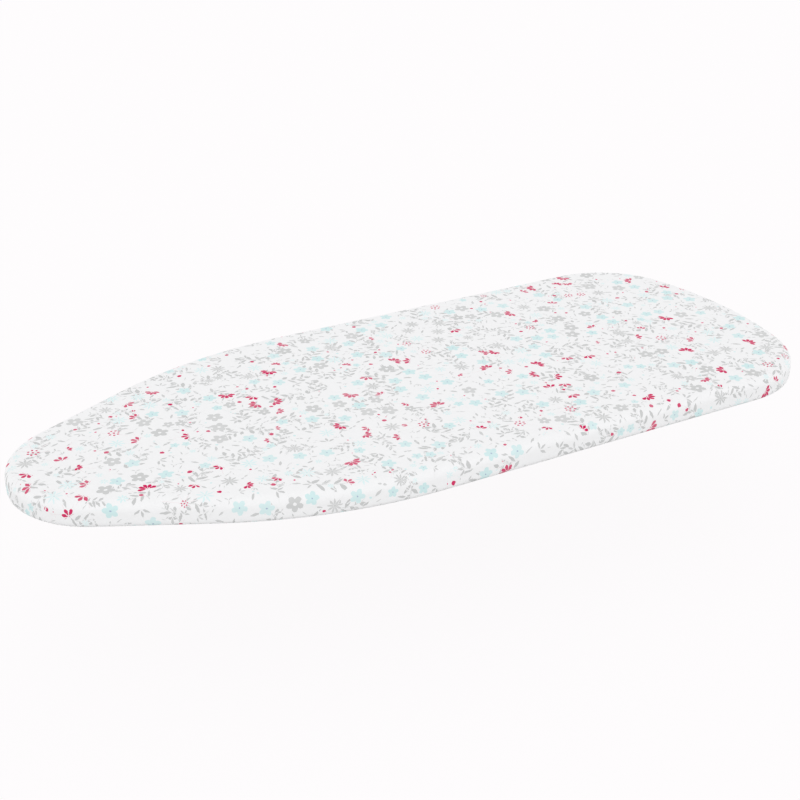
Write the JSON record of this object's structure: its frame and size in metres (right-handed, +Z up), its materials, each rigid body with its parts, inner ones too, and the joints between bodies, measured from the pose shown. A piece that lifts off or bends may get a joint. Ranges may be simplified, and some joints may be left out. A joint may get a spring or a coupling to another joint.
{
  "type": "sleeve ironing board",
  "caption": "Table-top sleeve ironing board: padded steel top with a tapered round nose, a floral cotton cover and wire-tube legs that fold flat underneath.",
  "frame": {"origin": "bottom centre of the folded board, on the surface that its rubber feet lie on", "axes": "+X from the nose to the tail, +Z up through the ironing surface, +Y to the left looking along +X"},
  "size_m": [0.7299, 0.31, 0.028],
  "materials": {
    "cover": "woven cotton, matt",
    "elastic": "woven tape",
    "foam": "open-cell foam",
    "painted_steel": "satin powder coat",
    "leg_steel": "satin powder coat",
    "zinc_steel": "zinc plated",
    "rivet_steel": "bright",
    "foot_rubber": "moulded, matt",
    "clip_plastic": "moulded",
    "nylon": "moulded"
  },
  "bodies": {
    "board": {"cover": "cover", "hem_elastic": "elastic", "pad": "foam", "top_panel": "painted_steel", "rim": "painted_steel", "front_crossbar": "painted_steel", "rear_crossbar": "painted_steel", "centre_rail": "painted_steel", "bracket_rivets": "rivet_steel", "front_left_bracket": "zinc_steel", "front_right_bracket": "zinc_steel", "front_clip": "clip_plastic", "front_pivot_rivets": "rivet_steel", "front_pivot_washers": "nylon", "rear_left_bracket": "zinc_steel", "rear_right_bracket": "zinc_steel", "rear_clip": "clip_plastic", "rear_pivot_rivets": "rivet_steel", "rear_pivot_washers": "nylon"},
    "front_leg_frame": {"front_leg": "leg_steel", "front_left_foot": "foot_rubber", "front_right_foot": "foot_rubber"},
    "rear_leg_frame": {"rear_leg": "leg_steel", "rear_left_foot": "foot_rubber", "rear_right_foot": "foot_rubber"}
  },
  "joints": [
    {"name": "front_leg_fold", "type": "hinge", "parent": "board", "child": "front_leg_frame", "pos_m": [-0.195, 0, 0.008], "axis": [0, 1, 0], "range_deg": [0, 105]},
    {"name": "rear_leg_fold", "type": "hinge", "parent": "board", "child": "rear_leg_frame", "pos_m": [0.275, 0, 0.008], "axis": [0, -1, 0], "range_deg": [0, 105]}
  ]
}
